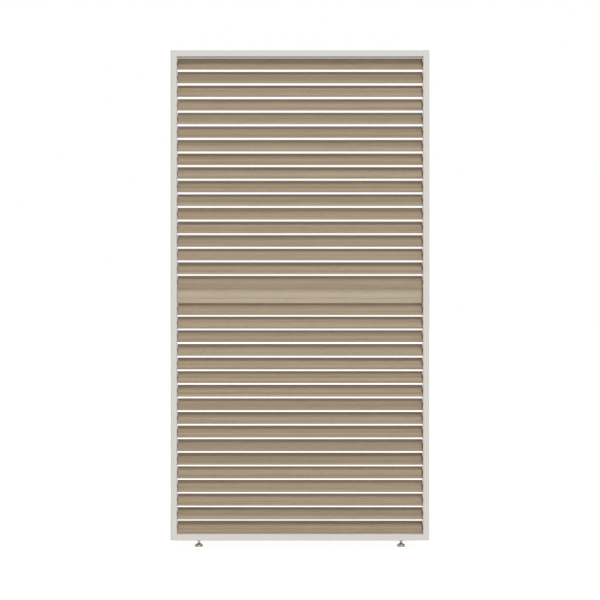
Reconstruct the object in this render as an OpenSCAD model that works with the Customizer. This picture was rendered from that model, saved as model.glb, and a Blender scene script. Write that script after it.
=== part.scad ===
// Rotating slat room divider: a free-standing metal frame that holds two banks
// of wood-effect slats. The slats of a bank turn together, a fixed middle rail
// parts the banks, and four levelling feet carry the frame.
// +Z is up, the front faces -Y, the slats run along X, and the origin is on
// the floor below the middle of the frame. All sizes are in millimetres.

/* [Frame] */
// Outer width of the frame
frame_w = 1043; // [700:1:1400]
// Height of the frame without its feet
frame_h = 1975; // [1500:1:2300]
// Depth of the frame from front to back
frame_d = 80; // [76:1:120]
// Width of each frame member seen from the front
face_w = 25; // [24:1:40]
// Wall of the frame members
wall = 2; // [1.5:0.1:2.5]
// Radius of the long outer edges of the frame members
edge_r = 1.2; // [0.4:0.1:1.4]
// Width of the cover strips on the outer sides of the stiles, seen from the front
cover_w = 5.4; // [4:0.1:7]
// How far the front and back of a cover strip slope in to its outer side
cover_drop = 2.2; // [0:0.1:3]
// Thickness of the plugs that close the ends of the stiles
plug_t = 2.5; // [1:0.1:3]
// Depth that the plugs reach into the stiles
plug_depth = 6; // [3:0.5:6]

/* [Slats] */
// Number of slats in each bank
bank_slats = 17; // [14:1:18]
// How much wider a slat is than the pitch of the slats
slat_lap = 2; // [0:0.5:4]
// Thickness of a slat at its middle
slat_t = 9; // [8:0.5:11]
// Radius of a slat's long edges
slat_edge_r = 1.5; // [1.2:0.1:2]
// Wall of the hollow slat
slat_wall = 1.4; // [1:0.1:1.8]
// Angle of the slats above the horizontal as they stand at rest
rest_tilt = 56; // [0:1:71]
// Thickness of the caps on the ends of a slat
cap_t = 2; // [1:0.1:4]
// Length of the cap's spigot inside the slat
spigot_len = 14; // [6:1:30]

/* [Pivots] */
// Diameter of the pivot pins
pivot_d = 8; // [7:0.5:10]
// Wall of the pivot bushes
bush_wall = 2; // [1:0.1:2.5]
// Diameter of the flange on a pivot bush
bush_flange_d = 17; // [16:0.5:20]
// Thickness of the flange on a pivot bush
bush_flange_t = 1.4; // [1:0.1:2.5]
// Thickness of the lip that snaps behind the stile's web
bush_lip_t = 1.2; // [0.8:0.1:2]
// How far the snap lip stands out past its hole
bush_lip_out = 0.5; // [0.2:0.1:1]

/* [Linkage] */
// Distance from a slat's pivot to its crank pin
crank_r = 14; // [13:0.5:18]
// Thickness of the crank arms
crank_t = 3; // [2:0.1:4]
// Diameter of the crank's hub
hub_d = 13; // [12:0.5:16]
// Diameter of the crank pins
crank_pin_d = 5; // [4:0.5:6]
// Width of the link bars
link_w = 12; // [10:0.5:16]
// Thickness of the link bars
link_t = 3; // [2:0.1:4]
// Diameter of the head on a crank pin
pin_head_d = 6.6; // [6.4:0.1:8]
// Thickness of the head on a crank pin
pin_head_t = 1.4; // [1:0.1:2]

/* [Middle rail] */
// How much taller the middle rail is than the pitch of the slats
mid_rail_lap = 7; // [2:0.5:7]
// Depth of the middle rail from front to back
mid_rail_d = 12; // [10:0.5:12]
// Wall of the middle rail
mid_rail_wall = 1.5; // [1:0.1:2]
// Distance of the screws from the middle rail's top and bottom edges
mid_screw_inset = 11; // [8:0.5:14]

/* [Screws] */
// Diameter of the screws' shanks
screw_d = 4.2; // [3.5:0.1:4.8]
// Length of the screws under the head
screw_len = 22; // [12:1:35]
// Diameter of the screws' heads
screw_head_d = 8; // [7:0.1:8.4]
// Thickness of the screws' heads
screw_head_t = 2.6; // [2:0.1:3]
// Outer diameter of the screw ports in the rails
port_d = 8; // [7.4:0.1:9]
// Distance of the screw ports from the front and back faces of the rails
port_inset = 9; // [8:0.5:9]

/* [Feet] */
// Height of the frame above the floor
foot_h = 26.5; // [25:0.5:40]
// Distance of the feet from the ends of the frame
foot_inset = 113; // [60:1:200]
// Gap between the threaded inserts and the rail's screw ports
insert_gap = 1.4; // [1:0.1:2]
// Diameter of the feet
foot_d = 31; // [24:1:34]
// Height of the foot's disc at its rim
foot_rim_h = 8.8; // [5:0.1:9.5]
// Diameter of the foot's cone where it meets the disc
foot_cone_d = 14; // [12:0.5:18]
// Diameter of the foot's threaded stem
stem_d = 8; // [6:1:8]
// Wall of the threaded inserts
insert_wall = 1.5; // [1:0.1:1.6]
// Diameter of the flange on a threaded insert
insert_flange_d = 16; // [13:0.5:17]
// Thickness of the flange on a threaded insert
insert_flange_t = 1; // [0.6:0.1:1.5]
// Height of the lock nuts
nut_h = 2.7; // [2.4:0.1:6]
// Width of the lock nuts across their flats
nut_af = 14; // [12:0.5:15]

/* [Fits] */
// Radial clearance of the pivot pins and crank pins that turn in a bore
turn_fit = 0.08; // [0.03:0.01:0.1]
// Radial clearance of the parts that are pushed or screwed into a bore
seat_fit = 0.04; // [0.02:0.01:0.1]
// Gap beside the parts that slide into a hollow
slip_fit = 0.15; // [0.1:0.05:0.3]
// Gap between faces that pass each other as the slats turn
side_play = 0.4; // [0.3:0.1:0.8]

/* [Hidden] */
$fn = 48;
BANKS = [0, 1];
BANK_NAMES = ["upper", "lower"];
SIDES = [-1, 1];
SIDE_NAMES = ["left", "right"];
END_NAMES = ["bottom", "top"];
DEPTH_NAMES = ["front", "back"];

FRAME_COLOR = "#dbd8d4";
WOOD_COLOR = "#b0a088";
NYLON_COLOR = "#8d8a85";
STEEL_COLOR = "#b3a89a";
LINK_COLOR = "#c2c4c6";

// Small length by which cuts run past the faces that they open.
past = 1;

// Heights and widths of the frame's opening.
frame_bottom = foot_h;
frame_top = foot_h + frame_h;
inner_w = frame_w - 2 * face_w;
slat_positions = 2 * bank_slats + 1;
slat_pitch = (frame_h - 2 * face_w) / slat_positions;
mid_rail_z = frame_bottom + frame_h / 2;

// The hollow of a frame member.
hollow_d = frame_d - 2 * wall;
hollow_h = face_w - 2 * wall;

// The slat's outline. The blade ends where its caps, the play and the bushes'
// flanges take up the rest of the frame's opening.
slat_w = slat_pitch + slat_lap;
slat_tip_solid = 0.5;
slat_hollow_w = slat_w - 2 * (slat_wall + slat_tip_solid);
slat_hollow_t = slat_t - 2 * slat_wall;
blade_len = inner_w - 2 * (seat_fit + cap_t + side_play + bush_flange_t);

// The bush, measured outwards from the inner face of a stile.
bush_d = pivot_d + 2 * turn_fit + 2 * bush_wall;
bush_hole_d = bush_d + 2 * seat_fit;
bush_lip_x = wall + seat_fit;
bush_end_x = bush_lip_x + bush_lip_t;

// The linkage, measured outwards from the inner face of the right stile.
crank_x = bush_end_x + side_play;
link_x = crank_x + crank_t + side_play;
pin_head_x = link_x + link_t + side_play;
square_inset = 0.04;
pivot_square = (pivot_d - 2 * square_inset) / sqrt(2);
boss_wall = 2;
crank_boss_d = crank_pin_d + 2 * boss_wall;
link_hole_d = crank_pin_d + 2 * turn_fit;

// The cover strip that clips over the open side of a stile.
cover_leg_len = 8;
cover_leg_t = 1.5;
catch_w = 1.6;
catch_out = 0.6;
catch_inset = 1;
catch_x = face_w - wall - cover_leg_len + catch_inset;

// Screws and the ports that they cut their thread into.
port_bore_d = screw_d + 2 * seat_fit;
screw_play = 0.2;
screw_hole_d = screw_d + 2 * screw_play;
port_rib_t = 2;
slot_w = 1.2;
slot_depth = 1.3;

// The middle rail.
mid_rail_h = slat_pitch + mid_rail_lap;
mid_screw_gap = mid_rail_h - 2 * mid_screw_inset;
mid_port_h = port_d;

// The feet, the inserts that they screw into and their lock nuts.
stem_bore_d = stem_d + 2 * turn_fit;
insert_d = stem_bore_d + 2 * insert_wall;
insert_hole_d = insert_d + 2 * seat_fit;
insert_room = 5;
insert_len = hollow_h - insert_room;
foot_offset = frame_d / 2 - port_inset - port_d / 2 - insert_gap - insert_d / 2;
stem_past = 2;
stem_top = frame_bottom + wall + insert_len + stem_past;
nut_bottom = frame_bottom - insert_flange_t - nut_h;
foot_edge = 1.2;
dome_h = 1.5;
neck_h = 5.8;
neck_cut = 0.3;
thread_lead = 0.5;

function two_digits(n) = n < 10 ? str("0", n) : str(n);
function slat_name(bank, i) = str("slat_", BANK_NAMES[bank], "_", two_digits(i + 1));
function pivot_z(bank, i) =
    frame_top - face_w - slat_pitch * (bank * (bank_slats + 1) + i + 0.5);

// ---- Outlines ----

// Points of an arc, without its last point, so that arcs join into an outline.
function arc(x, y, r, from, to, steps) =
    [for (i = [0 : steps - 1])
        let (a = from + (to - from) * i / steps)
        [x + r * cos(a), y + r * sin(a)]];

// Outline of a slat: two shallow arcs that run smoothly into round long edges.
function lens(w, t, r, side_steps = 12, tip_steps = 8) =
    let (
        tip_x = w / 2 - r,
        rise = t / 2 - r,
        drop = (tip_x * tip_x - rise * rise) / (2 * rise),
        side_r = drop + t / 2,
        a = atan2(drop, tip_x)
    )
    concat(
        arc(tip_x, 0, r, -a, a, tip_steps),
        arc(0, -drop, side_r, a, 180 - a, side_steps),
        arc(-tip_x, 0, r, 180 - a, 180 + a, tip_steps),
        arc(0, drop, side_r, 180 + a, 360 - a, side_steps)
    );

// Outline of a box with round corners, centred on the origin.
function round_box(w, h, r, steps = 5) =
    let (x = w / 2 - r, y = h / 2 - r)
    concat(
        arc(x, y, r, 0, 90, steps), [[x, y + r]],
        arc(-x, y, r, 90, 180, steps), [[-x - r, y]],
        arc(-x, -y, r, 180, 270, steps), [[-x, -y - r]],
        arc(x, -y, r, 270, 360, steps), [[x + r, -y]]
    );

// Extrudes an outline drawn in depth and height along the width, from x on.
module along_width(x, length) {
    translate([x, 0, 0]) rotate([90, 0, 90]) linear_extrude(length) children();
}

// A round bar along the width, from x on.
module round_along_width(x, length, d) {
    translate([x, 0, 0]) rotate([0, 90, 0]) cylinder(h = length, d = d);
}

// Puts what is drawn for the right side on the left or the right side. There x
// is measured outwards from the inner face of the stile.
module on_side(side) {
    mirror([side < 0 ? 1 : 0, 0, 0]) translate([inner_w / 2, 0, 0]) children();
}

// Places a copy at the pivot of every slat.
module at_pivots() {
    for (bank = BANKS, i = [0 : bank_slats - 1]) {
        translate([0, 0, pivot_z(bank, i)]) children();
    }
}

// Places a copy at each screw of the top and bottom rails, on one side.
module at_rail_screws() {
    for (z = [frame_bottom + face_w / 2, frame_top - face_w / 2], y = [-1, 1]) {
        translate([0, y * (frame_d / 2 - port_inset), z]) children();
    }
}

// Places a copy at each screw of the middle rail, on one side.
module at_mid_screws() {
    for (z = [-1, 1]) {
        translate([0, 0, mid_rail_z + z * mid_screw_gap / 2]) children();
    }
}

// Places a copy on the axis of each foot, on the floor.
module at_feet() {
    for (x = SIDES, y = [-1, 1]) {
        translate([x * (frame_w / 2 - foot_inset), y * foot_offset, 0]) children();
    }
}

// ---- Frame ----

// Channel that opens outwards, with a catch groove for the cover in each wall.
module stile_outline() {
    difference() {
        translate([face_w / 2, 0]) polygon(round_box(face_w, frame_d, edge_r));
        translate([wall, -hollow_d / 2]) square([face_w, hollow_d]);
        translate([face_w - cover_w - slip_fit, -frame_d / 2 - past]) {
            square([cover_w + slip_fit + past, frame_d + 2 * past]);
        }
        translate([catch_x, -hollow_d / 2 - catch_out]) {
            square([catch_w, hollow_d + 2 * catch_out]);
        }
    }
}

module stile(side) {
    color(FRAME_COLOR) on_side(side) difference() {
        translate([0, 0, frame_bottom + plug_t]) {
            linear_extrude(frame_h - 2 * plug_t) stile_outline();
        }
        at_pivots() round_along_width(-past, wall + 2 * past, bush_hole_d);
        at_rail_screws() round_along_width(-past, wall + 2 * past, screw_hole_d);
        at_mid_screws() round_along_width(-past, wall + 2 * past, screw_hole_d);
    }
}

// The edge of the cover strip from its outer side to its seam with the stile, at
// the back of the frame: a small radius and then the slope.
function cover_edge(y_sign) =
    let (
        slope = atan2(cover_drop, cover_w),
        corner_y = frame_d / 2 - cover_drop - edge_r * (1 - sin(slope)) / cos(slope),
        points = concat(
            arc(face_w - edge_r, corner_y, edge_r, 0, 90 - slope, 5),
            [[face_w - edge_r * (1 - sin(slope)), corner_y + edge_r * cos(slope)]],
            [[face_w - cover_w, frame_d / 2]]
        )
    )
    [for (p = points) [p[0], y_sign * p[1]]];

function reversed(points) = [for (i = [len(points) - 1 : -1 : 0]) points[i]];

// Strip with two legs, whose beads snap into the stile's grooves. Outside it
// covers the stile's full depth, and its edges slope in from the seam.
module cover_outline() {
    cover_d = hollow_d - 2 * slip_fit;
    inner_d = cover_d - 2 * cover_leg_t;
    difference() {
        polygon(concat(cover_edge(1), reversed(cover_edge(-1))));
        translate([face_w - cover_w - past, -inner_d / 2]) {
            square([cover_w + past - wall, inner_d]);
        }
    }
    for (y = [-1, 1]) {
        leg_y = y * (cover_d - cover_leg_t) / 2;
        bead_y = y * (cover_d / 2 + (catch_out - slip_fit) / 2);
        translate([face_w - wall - cover_leg_len, leg_y - cover_leg_t / 2]) {
            square([cover_leg_len + wall / 2, cover_leg_t]);
        }
        translate([catch_x + slip_fit, bead_y - catch_out / 2]) {
            square([catch_w - 2 * slip_fit, catch_out]);
        }
    }
}

module stile_cover(side) {
    color(FRAME_COLOR) on_side(side) translate([0, 0, frame_bottom + plug_t]) {
        linear_extrude(frame_h - 2 * plug_t) cover_outline();
    }
}

// Plate over the end of a stile, with a hollow spigot that fits its channel.
module end_plug(side, end) {
    spigot_w = face_w - 2 * wall - cover_leg_len - 2 * slip_fit;
    spigot_d = hollow_d - 2 * slip_fit;
    spigot_t = 1.6;
    z = end > 0 ? frame_top - plug_t : frame_bottom + plug_t;
    color(FRAME_COLOR) on_side(side) translate([0, 0, z]) {
        mirror([0, 0, end > 0 ? 0 : 1]) {
            translate([face_w / 2, 0, 0]) {
                linear_extrude(plug_t) polygon(round_box(face_w, frame_d, edge_r));
            }
            translate([wall + slip_fit, -spigot_d / 2, -plug_depth]) {
                linear_extrude(plug_depth + plug_t / 2) difference() {
                    square([spigot_w, spigot_d]);
                    translate([spigot_t, spigot_t]) {
                        square([spigot_w - 2 * spigot_t, spigot_d - 2 * spigot_t]);
                    }
                }
            }
        }
    }
}

// Hollow rail with two ribs that carry the screw ports.
module rail_outline() {
    difference() {
        union() {
            difference() {
                polygon(round_box(frame_d, face_w, edge_r));
                square([hollow_d, hollow_h], center = true);
            }
            for (y = [-1, 1]) translate([y * (frame_d / 2 - port_inset), 0]) {
                square([port_rib_t, hollow_h + wall], center = true);
                circle(d = port_d);
            }
        }
        for (y = [-1, 1]) translate([y * (frame_d / 2 - port_inset), 0]) {
            circle(d = port_bore_d);
        }
    }
}

module rail(z) {
    translate([0, 0, z]) along_width(-inner_w / 2, inner_w) rail_outline();
}

module top_rail() {
    color(FRAME_COLOR) rail(frame_top - face_w / 2);
}

module bottom_rail() {
    color(FRAME_COLOR) difference() {
        rail(frame_bottom + face_w / 2);
        at_feet() translate([0, 0, frame_bottom - past]) {
            cylinder(h = wall + 2 * past, d = insert_hole_d);
        }
    }
}

// Hollow wood-effect rail with a screw port near its top and its bottom.
module mid_rail() {
    inner_d = mid_rail_d - 2 * mid_rail_wall;
    color(WOOD_COLOR) translate([0, 0, mid_rail_z]) {
        along_width(-inner_w / 2, inner_w) difference() {
            union() {
                difference() {
                    polygon(round_box(mid_rail_d, mid_rail_h, edge_r));
                    square([inner_d, mid_rail_h - 2 * mid_rail_wall], center = true);
                }
                for (z = [-1, 1]) translate([0, z * mid_screw_gap / 2]) {
                    square([inner_d + mid_rail_wall, mid_port_h], center = true);
                }
            }
            for (z = [-1, 1]) translate([0, z * mid_screw_gap / 2]) {
                circle(d = port_bore_d);
            }
        }
    }
}

// Pan-head screw with a cross slot, driven from inside the stile.
module screw() {
    difference() {
        union() {
            round_along_width(wall - screw_len, screw_len, screw_d);
            round_along_width(wall, screw_head_t, screw_head_d);
        }
        for (turn = [0, 90]) rotate([turn, 0, 0]) {
            translate([wall + screw_head_t - slot_depth, -screw_head_d / 4, -slot_w / 2]) {
                cube([slot_depth + past, screw_head_d / 2, slot_w]);
            }
        }
    }
}

module rail_screws() {
    color(STEEL_COLOR) for (side = SIDES) on_side(side) at_rail_screws() screw();
}

module mid_rail_screws() {
    color(STEEL_COLOR) for (side = SIDES) on_side(side) at_mid_screws() screw();
}

// ---- Slats and their linkage ----

// Flanged bush that snaps into the stile's web from the slat's side.
module bush() {
    difference() {
        union() {
            round_along_width(-bush_flange_t, bush_flange_t, bush_flange_d);
            round_along_width(-bush_flange_t / 2, bush_flange_t / 2 + bush_end_x, bush_d);
            round_along_width(bush_lip_x, bush_lip_t, bush_hole_d + 2 * bush_lip_out);
        }
        round_along_width(-bush_flange_t - past, bush_flange_t + bush_end_x + 2 * past,
            pivot_d + 2 * turn_fit);
    }
}

module pivot_bushes(side) {
    color(NYLON_COLOR) on_side(side) at_pivots() bush();
}

// Hollow slat, lying flat with its width along the depth of the frame.
module blade() {
    color(WOOD_COLOR) along_width(-blade_len / 2, blade_len) difference() {
        polygon(lens(slat_w, slat_t, slat_edge_r));
        polygon(lens(slat_hollow_w, slat_hollow_t, slat_edge_r / 2, 8, 4));
    }
}

// Cap with its spigot inside the slat and its pivot pin through the bush. The
// pin on the right side goes on as a square that carries the crank.
module end_cap(side) {
    cap_x = -side_play - bush_flange_t - cap_t;
    spigot_t = slat_hollow_t - 2 * slip_fit;
    spigot_w = slat_hollow_w - 2 * slip_fit;
    color(WOOD_COLOR) on_side(side) {
        along_width(cap_x, cap_t) polygon(lens(slat_w, slat_t, slat_edge_r));
        along_width(cap_x - spigot_len, spigot_len + cap_t / 2) {
            polygon(lens(spigot_w, spigot_t, slat_edge_r / 2, 8, 4));
        }
        round_along_width(cap_x + cap_t / 2, bush_end_x - cap_x - cap_t / 2, pivot_d);
        if (side > 0) {
            translate([bush_end_x - past, -pivot_square / 2, -pivot_square / 2]) {
                cube([crank_x + crank_t - bush_end_x + past, pivot_square, pivot_square]);
            }
        }
    }
}

// Crank arm on the square end of the pivot pin, with a headed pin for the link bar.
module crank() {
    square_hole = pivot_square + 2 * seat_fit;
    color(NYLON_COLOR) on_side(1) {
        difference() {
            union() {
                round_along_width(crank_x, crank_t, hub_d);
                translate([0, crank_r, 0]) {
                    round_along_width(crank_x, crank_t, crank_boss_d);
                }
                translate([crank_x, 0, -crank_boss_d / 2]) {
                    cube([crank_t, crank_r, crank_boss_d]);
                }
            }
            translate([crank_x - past, -square_hole / 2, -square_hole / 2]) {
                cube([crank_t + 2 * past, square_hole, square_hole]);
            }
        }
        translate([0, crank_r, 0]) {
            round_along_width(crank_x + crank_t / 2, pin_head_x - crank_x, crank_pin_d);
            round_along_width(pin_head_x, pin_head_t, pin_head_d);
        }
    }
}

module slat(bank, i) {
    translate([0, 0, pivot_z(bank, i)]) rotate([rest_tilt, 0, 0]) {
        blade();
        end_cap(-1);
        end_cap(1);
        crank();
    }
}

// Flat bar with a hole for each crank pin of its bank.
module link_bar(bank) {
    pin_y = crank_r * cos(rest_tilt);
    pin_z = crank_r * sin(rest_tilt);
    top_z = pivot_z(bank, 0) + pin_z;
    bottom_z = pivot_z(bank, bank_slats - 1) + pin_z;
    color(LINK_COLOR) on_side(1) translate([0, pin_y, 0]) difference() {
        union() {
            translate([link_x, -link_w / 2, bottom_z]) {
                cube([link_t, link_w, top_z - bottom_z]);
            }
            for (z = [bottom_z, top_z]) translate([0, 0, z]) {
                round_along_width(link_x, link_t, link_w);
            }
        }
        for (i = [0 : bank_slats - 1]) translate([0, 0, pivot_z(bank, i) + pin_z]) {
            round_along_width(link_x - past, link_t + 2 * past, link_hole_d);
        }
    }
}

// ---- Feet ----

// Turned levelling foot: a flat disc, a cone and a threaded stem.
module foot(x, y) {
    translate([x * (frame_w / 2 - foot_inset), y * foot_offset, 0]) {
        color(STEEL_COLOR) rotate_extrude() polygon([
            [0, 0],
            [foot_d / 2 - foot_edge, 0],
            [foot_d / 2, foot_edge],
            [foot_d / 2, foot_rim_h - foot_edge],
            [foot_d / 2 - foot_edge, foot_rim_h],
            [foot_cone_d / 2, foot_rim_h + dome_h],
            [stem_d / 2 - neck_cut, nut_bottom - neck_h],
            [stem_d / 2 - neck_cut, nut_bottom - thread_lead - neck_cut],
            [stem_d / 2, nut_bottom - thread_lead],
            [stem_d / 2, stem_top],
            [0, stem_top]
        ]);
    }
}

// Flanged threaded inserts in the bottom rail.
module foot_inserts() {
    color(STEEL_COLOR) at_feet() difference() {
        union() {
            translate([0, 0, frame_bottom - insert_flange_t]) {
                cylinder(h = insert_flange_t, d = insert_flange_d);
            }
            translate([0, 0, frame_bottom - insert_flange_t / 2]) {
                cylinder(h = insert_flange_t / 2 + wall + insert_len, d = insert_d);
            }
        }
        translate([0, 0, frame_bottom - insert_flange_t - past]) {
            cylinder(h = insert_flange_t + wall + insert_len + 2 * past, d = stem_bore_d);
        }
    }
}

// Hexagonal nuts that lock the stems under the inserts.
module lock_nuts() {
    color(STEEL_COLOR) at_feet() translate([0, 0, nut_bottom]) difference() {
        cylinder(h = nut_h, d = nut_af / cos(30), $fn = 6);
        translate([0, 0, -past]) cylinder(h = nut_h + 2 * past, d = stem_bore_d);
    }
}

// ---- Nodes ----

stile(-1);  // stile_left
stile(1);  // stile_right
stile_cover(-1);  // stile_cover_left
stile_cover(1);  // stile_cover_right
top_rail();
bottom_rail();
mid_rail();
rail_screws();
mid_rail_screws();
end_plug(-1, -1);  // end_plug_bottom_left
end_plug(-1, 1);  // end_plug_top_left
end_plug(1, -1);  // end_plug_bottom_right
end_plug(1, 1);  // end_plug_top_right
pivot_bushes(-1);  // pivot_bushes_left
pivot_bushes(1);  // pivot_bushes_right
link_bar(0);  // link_bar_upper
link_bar(1);  // link_bar_lower
foot(-1, -1);  // foot_front_left
foot(1, -1);  // foot_front_right
foot(-1, 1);  // foot_back_left
foot(1, 1);  // foot_back_right
foot_inserts();
lock_nuts();
for (bank = BANKS, i = [0 : bank_slats - 1]) {
    slat(bank, i);
}
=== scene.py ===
"""Looks, light and camera of the rotating slat room divider.

Metres, +Z up. The front faces -Y and the slats run along X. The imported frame
holds every piece at its real size: this script gives the pieces their finish,
puts turned feet and chamfered nuts in place of the plain ones, and lights them.
"""
import math

import bmesh
import bpy
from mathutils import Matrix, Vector


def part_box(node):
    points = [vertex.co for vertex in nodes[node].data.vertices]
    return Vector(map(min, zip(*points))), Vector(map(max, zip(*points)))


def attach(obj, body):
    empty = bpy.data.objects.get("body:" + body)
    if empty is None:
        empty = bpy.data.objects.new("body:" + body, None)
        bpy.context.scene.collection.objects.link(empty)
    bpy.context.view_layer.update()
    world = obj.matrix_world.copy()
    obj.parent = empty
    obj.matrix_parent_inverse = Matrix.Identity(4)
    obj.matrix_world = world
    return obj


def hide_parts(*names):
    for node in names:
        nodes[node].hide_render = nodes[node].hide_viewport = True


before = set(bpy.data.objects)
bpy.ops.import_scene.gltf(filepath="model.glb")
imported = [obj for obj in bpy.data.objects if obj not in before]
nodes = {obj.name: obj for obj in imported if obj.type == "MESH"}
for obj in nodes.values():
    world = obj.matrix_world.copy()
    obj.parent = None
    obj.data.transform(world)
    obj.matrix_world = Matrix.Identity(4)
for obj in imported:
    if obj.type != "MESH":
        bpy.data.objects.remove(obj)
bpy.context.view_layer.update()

MM = 0.001

# ---- Places that the looks depend on, from the frame itself ----

opening_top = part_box("top_rail")[0].z
opening_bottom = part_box("bottom_rail")[1].z
inner_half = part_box("top_rail")[1].x
frame_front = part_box("stile_left")[0].y
feet = [name for name in nodes if name.startswith("foot_") and name != "foot_inserts"]

# The middle rail takes the place of one more slat.
slat_rows = sum(name.startswith("slat_") for name in nodes) + 1
slat_pitch = (opening_top - opening_bottom) / slat_rows

# Sizes that the frame's boxes don't give, as the frame was built.
CAP_THICKNESS = 2.0 * MM
BLADE_GAP = 1.8 * MM
WEB_THICKNESS = 2.0 * MM
THREAD_RADIUS = 4.0 * MM
THREAD_PITCH = 1.25 * MM
THREAD_DEPTH = 0.61 * THREAD_PITCH
NUT_ACROSS_FLATS = 14.0 * MM
blade_half = inner_half - BLADE_GAP - CAP_THICKNESS

# ---- Materials ----
# A noise's scale is in cells per metre.

WHITE = (1.0, 1.0, 1.0, 1.0)
# A row that no slat has, so that the middle rail is a cut of its own.
RAIL_ROW = 100.5


def srgb(code):
    """A linear colour from a code such as dbd8d4, which is the colour on a screen."""
    parts = [int(code[i : i + 2], 16) / 255 for i in (0, 2, 4)]
    low, gamma = 0.04045, 2.4
    linear = [c / 12.92 if c <= low else ((c + 0.055) / 1.055) ** gamma for c in parts]
    return (*linear, 1.0)


class Nodes:
    """The node tree of a material or a world, and short ways to add nodes to it."""

    def __init__(self, owner, output):
        owner.use_nodes = True
        self.tree = owner.node_tree
        self.tree.nodes.clear()
        self.out = self.add(output)

    def add(self, kind, inputs=None, **settings):
        """Adds a node. An input is a constant or another node's output."""
        node = self.tree.nodes.new(kind)
        for key, value in settings.items():
            setattr(node, key, value)
        for key, value in (inputs or {}).items():
            if isinstance(value, bpy.types.NodeSocket):
                self.tree.links.new(value, node.inputs[key])
            else:
                node.inputs[key].default_value = value
        return node

    def math(self, operation, a, b=0.0):
        return self.add("ShaderNodeMath", {0: a, 1: b}, operation=operation).outputs[0]

    def seen(self):
        """1 for a ray from the camera, off gloss or through clear material, and 0 otherwise."""
        path = self.add("ShaderNodeLightPath")
        seen = self.math("MAXIMUM", path.outputs["Is Camera Ray"], path.outputs["Is Glossy Ray"])
        return self.math("MAXIMUM", seen, path.outputs["Is Transmission Ray"])

    def show(self, shader):
        """Makes a shader node the surface."""
        self.tree.links.new(shader.outputs[0], self.out.inputs["Surface"])


class Finish(Nodes):
    """A material in the making."""

    def __init__(self, name):
        self.material = bpy.data.materials.new(name)
        super().__init__(self.material, "ShaderNodeOutputMaterial")

    def place(self):
        """A point's place on the piece, which stays with the piece as it turns."""
        return self.add("ShaderNodeTexCoord").outputs["Object"]

    def stretch(self, vector, scale, shift=None):
        """The vector, scaled along each axis, and moved by the shift."""
        moved = self.add("ShaderNodeVectorMath", {0: vector, 1: scale}, operation="MULTIPLY")
        if shift is None:
            return moved.outputs[0]
        return self.add("ShaderNodeVectorMath", {0: moved.outputs[0], 1: shift}).outputs[0]

    def noise(self, vector, scale=1.0, detail=2.0, roughness=0.5):
        inputs = {"Vector": vector, "Scale": scale, "Detail": detail, "Roughness": roughness}
        return self.add("ShaderNodeTexNoise", inputs).outputs["Fac"]

    def spread(self, value, low, high, to_low=0.0, to_high=1.0):
        """The value's range from low to high, laid out from to_low to to_high."""
        inputs = {0: value, 1: low, 2: high, 3: to_low, 4: to_high}
        return self.add("ShaderNodeMapRange", inputs).outputs[0]

    def follow(self, noise, to_low, to_high):
        """A value that follows a noise's usual range, from to_low to to_high."""
        return self.spread(noise, 0.3, 0.7, to_low, to_high)

    def mix(self, factor, a, b, blend="MIX"):
        inputs = {0: factor, 6: a, 7: b}
        return self.add("ShaderNodeMix", inputs, data_type="RGBA", blend_type=blend).outputs[2]

    def bump(self, height, distance):
        return self.add("ShaderNodeBump", {"Height": height, "Distance": distance}).outputs[0]

    def shade(self, color, roughness, normal, **constants):
        """Ends the material. Further constants are named as on the shader."""
        inputs = {"Base Color": color, "Roughness": roughness, "Normal": normal}
        inputs.update({key.replace("_", " "): value for key, value in constants.items()})
        self.show(self.add("ShaderNodeBsdfPrincipled", inputs))
        return self.material


def powder_coat():
    """Off-white matt powder coat, with its fine orange peel."""
    f = Finish("powder_coat")
    place = f.place()
    peel = f.noise(place, 900.0, 3.0, 0.6)
    cloud = f.noise(place, 9.0)
    color = f.mix(cloud, srgb("dcd9d5"), srgb("dad7d3"))
    roughness = f.follow(peel, 0.66, 0.78)
    return f.shade(color, roughness, f.bump(peel, 0.14 * MM), Specular_IOR_Level=0.08)


def moulded_plastic():
    """Off-white moulded plastic, a shade greyer than the coat, spark-eroded."""
    f = Finish("moulded_plastic")
    place = f.place()
    grain = f.noise(place, 1800.0, 2.0, 0.7)
    flow = f.noise(f.stretch(place, (30.0, 30.0, 90.0)))
    color = f.mix(flow, srgb("d8d5d0"), srgb("d5d2cc"))
    roughness = f.follow(grain, 0.64, 0.76)
    return f.shade(color, roughness, f.bump(grain, 0.05 * MM), Specular_IOR_Level=0.25)


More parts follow.
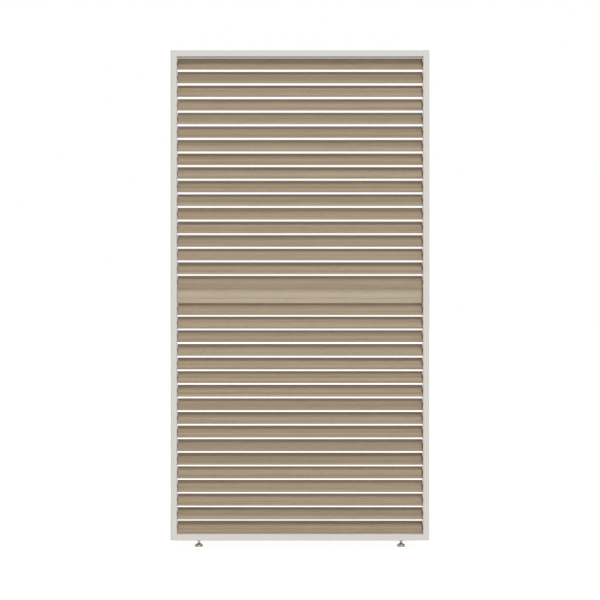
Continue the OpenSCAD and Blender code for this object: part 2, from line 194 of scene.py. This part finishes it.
def wood_effect(name, light, dark, pore, cap_and_end_shade, row=None):
    """Printed wood grain along X. Each slat of the divider has a cut of its own."""
    f = Finish(name)
    place = f.place()
    axes = f.add("ShaderNodeSeparateXYZ", {0: place})
    if row is None:
        below_top = f.math("SUBTRACT", opening_top, axes.outputs["Z"])
        row = f.math("FLOOR", f.math("DIVIDE", below_top, slat_pitch))
    chance = f.add("ShaderNodeTexWhiteNoise", {"W": row}, noise_dimensions="1D")
    shift = f.stretch(chance.outputs["Color"], (37.0, 53.0, 71.0))

    # The grain wanders a little up and down on its way along the slat.
    wander = f.noise(f.stretch(place, (2.2, 6.0, 6.0), shift))
    lift = f.math("MULTIPLY", f.math("SUBTRACT", wander, 0.5), 1.3 * MM)
    lifted = f.add("ShaderNodeCombineXYZ", {"Y": lift, "Z": lift}).outputs[0]
    bent = f.add("ShaderNodeVectorMath", {0: place, 1: lifted}).outputs[0]

    def grain(along, across, detail=1.0, roughness=0.5):
        """Noise with its own scale along the slat and across it."""
        return f.noise(f.stretch(bent, (along, across, across), shift), 1.0, detail, roughness)

    bands = grain(0.15, 84.0, 2.0)
    lines = grain(3.0, 420.0, 3.0, 0.6)
    fibres = grain(22.0, 1500.0, 2.0, 0.6)
    pores = grain(70.0, 1300.0)
    patches = grain(6.0, 45.0)

    # Wide bands hold most of the tone. Dark pores lie in patches over it.
    tone = f.math("ADD", f.math("MULTIPLY", bands, 0.55), f.math("MULTIPLY", lines, 0.2))
    tone = f.math("ADD", tone, f.math("MULTIPLY", fibres, 0.25))
    wood = f.mix(f.spread(tone, 0.42, 0.58), dark, light)
    strokes = f.math("MULTIPLY", f.spread(pores, 0.6, 0.7), f.spread(patches, 0.4, 0.6))
    wood = f.mix(f.math("MULTIPLY", strokes, 0.7), wood, pore)
    depth = f.spread(chance.outputs["Value"], 0.0, 1.0, 0.99, 1.01)
    tint = f.add("ShaderNodeCombineColor", {0: depth, 1: depth, 2: depth}).outputs[0]
    wood = f.mix(1.0, wood, tint, "MULTIPLY")

    # The end caps and the cranks of a slat are its own node's plain plastic parts. The caps' colour
    # is partly painted shade: it is darker than the wood, for the shade in the gap at each slat
    # end.
    crank = srgb("55524e")
    out = f.math("ABSOLUTE", axes.outputs["X"])
    color = f.mix(f.math("GREATER_THAN", out, blade_half), wood, cap_and_end_shade)
    color = f.mix(f.math("GREATER_THAN", out, inner_half + WEB_THICKNESS), color, crank)
    relief = f.math("SUBTRACT", f.math("MULTIPLY", fibres, 0.5), strokes)
    roughness = f.follow(lines, 0.56, 0.68)
    return f.shade(color, roughness, f.bump(relief, 0.05 * MM), Specular_IOR_Level=0.35)


def nylon():
    """Dark grey-brown nylon of the bushes, slightly waxy."""
    f = Finish("nylon")
    speckle = f.noise(f.place(), 1500.0)
    color = f.mix(speckle, srgb("6d675f"), srgb("78716a"))
    roughness = f.follow(speckle, 0.38, 0.5)
    return f.shade(color, roughness, f.bump(speckle, 0.03 * MM), IOR=1.53)


def metal(name, light, dark, marks_per_metre, axis_scale):
    """Metal with fine tool marks, drawn out along the axes where axis_scale is small."""
    f = Finish(name)
    place = f.place()
    marks = f.noise(f.stretch(place, axis_scale), marks_per_metre, 2.0, 0.7)
    smudge = f.noise(place, 60.0, 3.0)
    color = f.mix(smudge, light, dark)
    polish = f.follow(smudge, 0.3, 0.4)
    roughness = f.math("ADD", polish, f.math("MULTIPLY", marks, 0.08))
    return f.shade(color, roughness, f.bump(marks, 0.01 * MM), Metallic=1.0)


FINISHES = {
    "frame_paint": powder_coat(),
    "plug_plastic": moulded_plastic(),
    # The last colour is the end caps'. It is a darker brown that is partly painted shade.
    "wood_effect": wood_effect(
        "slat_wood", srgb("ab9a82"), srgb("91816b"), srgb("665744"), srgb("7f6a50")
    ),
    "nylon": nylon(),
    "steel": metal("zinc_steel", srgb("a59e92"), srgb("8f887d"), 900.0, (1.0, 1.0, 1.0)),
    "foot_metal": metal("nickel", srgb("a09688"), srgb("8c8376"), 1500.0, (0.02, 0.02, 1.0)),
    "link_metal": metal(
        "mill_aluminium", srgb("cfd0d1"), srgb("b9babb"), 1200.0, (1.0, 1.0, 0.03)
    ),
}
# The middle rail has the same wood as the slats, in lighter colours. The extra lightness is painted
# light, for the flat rail's brightness beside slats that shade each other.
rail_wood_painted_lighter = wood_effect(
    "rail_wood_painted_lighter", srgb("bcad97"), srgb("a0917c"), srgb("857660"), srgb("a3947c"), RAIL_ROW
)

# Material slots by how a node's name starts. The first that fits counts.
SLOTS = (
    ("slat_", "wood_effect"),
    ("mid_rail_screws", "steel"),
    ("mid_rail", "wood_effect"),
    ("end_plug", "plug_plastic"),
    ("pivot_bushes", "nylon"),
    ("link_bar", "link_metal"),
    ("rail_screws", "steel"),
    ("foot_inserts", "steel"),
    ("lock_nuts", "steel"),
    ("foot_", "foot_metal"),
    ("", "frame_paint"),
)


def paint(obj, material):
    obj.data.materials.clear()
    obj.data.materials.append(material)


for name, node in nodes.items():
    slot = next(slot for start, slot in SLOTS if name.startswith(start))
    paint(node, FINISHES[slot])
# The middle rail takes the copy of the wood with painted light.
paint(nodes["mid_rail"], rail_wood_painted_lighter)

# ---- Pieces with more detail than the plain ones ----

CREASE = math.radians(32.0)
FOOT_SIDES = 48
NUT_SIDES = 72


def new_piece(name, mesh, body, slot, replaced):
    """Shows a bmesh in place of a CAD node, on the same body."""
    data = bpy.data.meshes.new(name)
    bmesh.ops.recalc_face_normals(mesh, faces=mesh.faces)
    mesh.to_mesh(data)
    mesh.free()
    data.shade_smooth()
    data.set_sharp_from_angle(angle=CREASE)
    obj = bpy.data.objects.new(name, data)
    bpy.context.scene.collection.objects.link(obj)
    paint(obj, FINISHES[slot])
    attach(obj, body)
    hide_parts(replaced)


def turn(mesh, profile, sides, centre, ring=False):
    """Adds a turned solid, which as a ring has a bore and no end faces.

    Its profile holds radii, or functions of the angle, with heights.
    """
    rows = []
    for radius, height in profile:
        row = []
        for side in range(sides):
            angle = math.tau * side / sides
            r = radius(angle) if callable(radius) else radius
            x, y = centre[0] + r * math.cos(angle), centre[1] + r * math.sin(angle)
            row.append(mesh.verts.new((x, y, height)))
        rows.append(row)
    if ring:
        rows.append(rows[0])
    else:
        mesh.faces.new(rows[0])
        mesh.faces.new(rows[-1])
    for low, high in zip(rows, rows[1:]):
        for side in range(sides):
            after = (side + 1) % sides
            mesh.faces.new((low[side], low[after], high[after], high[side]))


def fillet(centre_r, centre_z, radius, start, end, steps=5):
    """Profile points on an arc, from one angle in degrees to another."""
    points = []
    for step in range(steps + 1):
        angle = math.radians(start + (end - start) * step / steps)
        points.append((centre_r + radius * math.cos(angle), centre_z + radius * math.sin(angle)))
    return points


def thread(low, high):
    """Profile of a stem whose radius follows a screw thread between two heights."""
    crest = 0.25
    levels_per_turn = 8

    def radius_at(height):
        run_out = min(1.0, (height - low) / THREAD_PITCH, (high - height) / THREAD_PITCH)

        def radius(angle):
            turns = (height / THREAD_PITCH - angle / math.tau) % 1.0
            groove = 1.0 - abs(2.0 * turns - 1.0)
            return THREAD_RADIUS - THREAD_DEPTH * max(0.0, groove * (1.0 + crest) - crest) * run_out

        return radius

    count = round((high - low) / THREAD_PITCH * levels_per_turn)
    heights = [low + (high - low) * step / count for step in range(count + 1)]
    return [(radius_at(height), height) for height in heights]


def add_foot(name):
    """Levelling foot: turned disc, concave cone, neck and threaded stem."""
    low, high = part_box(name)
    nut_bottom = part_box("lock_nuts")[0].z

    # The disc, with a bevelled sole and a rounded upper edge.
    rim = (high.x - low.x) / 2
    rim_top = 8.6 * MM
    sole_rise = 0.4 * MM
    bevel = 1.5 * MM
    corner = 1.0 * MM
    profile = [(rim - 2.0 * bevel, low.z), (rim - bevel, low.z + sole_rise)]
    profile += fillet(rim - bevel, bevel + sole_rise, bevel, -70.0, 0.0)
    profile += fillet(rim - corner, rim_top - corner, corner, 0.0, 80.0)

    # A low shoulder, and the concave cone up to the neck.
    shoulder = 8.7 * MM
    shoulder_low, shoulder_high = 9.3 * MM, 10.0 * MM
    shoulder_bevel = 0.4 * MM
    neck = 3.6 * MM
    flare = 5.6 * MM
    flare_top = nut_bottom - 5.9 * MM
    profile += [(shoulder, shoulder_low), (shoulder - shoulder_bevel, shoulder_high)]
    profile += fillet(neck + flare, flare_top, flare, 262.0, 180.0, 9)

    # The threaded stem, which starts just under the nut.
    neck_top = nut_bottom - 0.5 * MM
    thread_start = nut_bottom - 0.4 * MM
    tip = 0.8 * MM
    profile += [(neck, neck_top)]
    profile += thread(thread_start, high.z - tip)
    profile += [(THREAD_RADIUS - tip, high.z)]

    mesh = bmesh.new()
    turn(mesh, profile, FOOT_SIDES, (low + high) / 2)
    new_piece(name + "_turned", mesh, name, "foot_metal", name)


def nut_radius(cone):
    """Radius of a hexagon with corners on X, cut off by a cone's radius."""

    def radius(angle):
        from_flat = angle % (math.tau / 6) - math.tau / 12
        return min(NUT_ACROSS_FLATS / 2 / math.cos(from_flat), cone)

    return radius


def add_lock_nuts():
    """Thin hexagon nuts under the frame, with both ends chamfered."""
    low, high = (corner.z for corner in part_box("lock_nuts"))
    bore = THREAD_RADIUS + 0.1 * MM
    corner = NUT_ACROSS_FLATS / 2 / math.cos(math.tau / 12)
    lead = 0.4 * MM
    chamfer_in, chamfer_up = 1.6 * MM, 0.9 * MM
    levels = 5
    lower = []
    for level in range(levels + 1):
        share = level / levels
        lower.append((corner - chamfer_in * (1.0 - share), low + chamfer_up * share))
    upper = [(cone, high + low - height) for cone, height in reversed(lower)]
    profile = [(bore, high - lead), (bore, low + lead), (bore + lead, low)]
    profile += [(nut_radius(cone), height) for cone, height in lower + upper]
    profile += [(bore + lead, high)]
    mesh = bmesh.new()
    for foot in feet:
        turn(mesh, profile, NUT_SIDES, sum(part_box(foot), Vector()) / 2, ring=True)
    new_piece("lock_nuts_chamfered", mesh, "frame", "steel", "lock_nuts")


for name in feet:
    add_foot(name)
add_lock_nuts()

# ---- Floor, light and camera ----

# The photo's width in pixels, and a pixel's size at the front of the frame.
PHOTO_SIDE = 600
MM_PER_PIXEL = 4.028
CAMERA_DISTANCE = 12.7
CAMERA_HEIGHT = 0.9954
CAMERA_REACH = 100.0
SENSOR = 36.0
FLOOR_HALF = 300.0
FLOOR_GLOW = 0.7

# Azimuth is to the right of the front. The front light is that of a tall soft box:
# the elevation and strength of each part of it.
FRONT_AZIMUTH = 8.0
FRONT_LIGHT = ((0.0, 1.4), (12.0, 0.3), (46.0, 1.04), (82.0, 0.12))
# The fill lamps' names, azimuths, elevations and strengths.
FILL_LIGHT = (
    ("left", -90.0, 10.0, 0.1),
    ("right", 90.0, 10.0, 0.2),
    ("back_left", 215.0, 12.0, 0.9),
    ("back_right", 145.0, 12.0, 0.9),
)
SOFTNESS = 17.0
AMBIENT = 0.35


def add_camera():
    """Straight-on camera, as far off as the perspective inside the slats says."""
    data = bpy.data.cameras.new("camera")
    data.sensor_width = SENSOR
    data.lens = SENSOR * CAMERA_DISTANCE / (PHOTO_SIDE * MM_PER_PIXEL * MM)
    data.clip_end = CAMERA_REACH
    obj = bpy.data.objects.new("camera", data)
    obj.location = (0.0, frame_front - CAMERA_DISTANCE, CAMERA_HEIGHT)
    obj.rotation_euler = (math.radians(90.0), 0.0, 0.0)
    bpy.context.scene.collection.objects.link(obj)
    bpy.context.scene.camera = obj


def add_sun(name, azimuth, elevation, strength):
    """Even soft light from far off."""
    data = bpy.data.lights.new(name, "SUN")
    data.angle = math.radians(SOFTNESS)
    data.energy = strength
    obj = bpy.data.objects.new(name, data)
    a, e = math.radians(azimuth), math.radians(elevation)
    away = Vector((math.sin(a) * math.cos(e), -math.cos(a) * math.cos(e), math.sin(e)))
    obj.rotation_euler = away.to_track_quat("Z", "Y").to_euler()
    bpy.context.scene.collection.objects.link(obj)


def add_world():
    """White where the camera, a reflection or clear light meets it, and an even fill otherwise."""
    world = bpy.data.worlds.new("studio")
    w = Nodes(world, "ShaderNodeOutputWorld")
    seen = w.seen()
    fill = w.add("ShaderNodeBackground", {"Color": WHITE, "Strength": AMBIENT})
    white = w.add("ShaderNodeBackground", {"Color": WHITE})
    w.show(w.add("ShaderNodeMixShader", {0: seen, 1: fill.outputs[0], 2: white.outputs[0]}))
    bpy.context.scene.world = world


def add_floor():
    """Pale floor that shows as white and still holds a trace of the object's shadow."""
    f = Finish("floor")
    seen = f.seen()
    pale = f.add("ShaderNodeBsdfDiffuse", {"Color": srgb("cfcecc")})
    glow = f.add("ShaderNodeEmission", {"Color": WHITE, "Strength": FLOOR_GLOW})
    lit = f.add("ShaderNodeAddShader", {0: pale.outputs[0], 1: glow.outputs[0]})
    f.show(f.add("ShaderNodeMixShader", {0: seen, 1: pale.outputs[0], 2: lit.outputs[0]}))
    mesh = bmesh.new()
    bmesh.ops.create_grid(mesh, x_segments=1, y_segments=1, size=FLOOR_HALF)
    data = bpy.data.meshes.new("floor")
    mesh.to_mesh(data)
    mesh.free()
    obj = bpy.data.objects.new("floor", data)
    bpy.context.scene.collection.objects.link(obj)
    paint(obj, f.material)


add_camera()
add_world()
for elevation, strength in FRONT_LIGHT:
    add_sun("front_%02d" % elevation, FRONT_AZIMUTH, elevation, strength)
for side, azimuth, elevation, strength in FILL_LIGHT:
    add_sun(side + "_fill", azimuth, elevation, strength)
add_floor()
bpy.context.scene.view_settings.view_transform = "Standard"
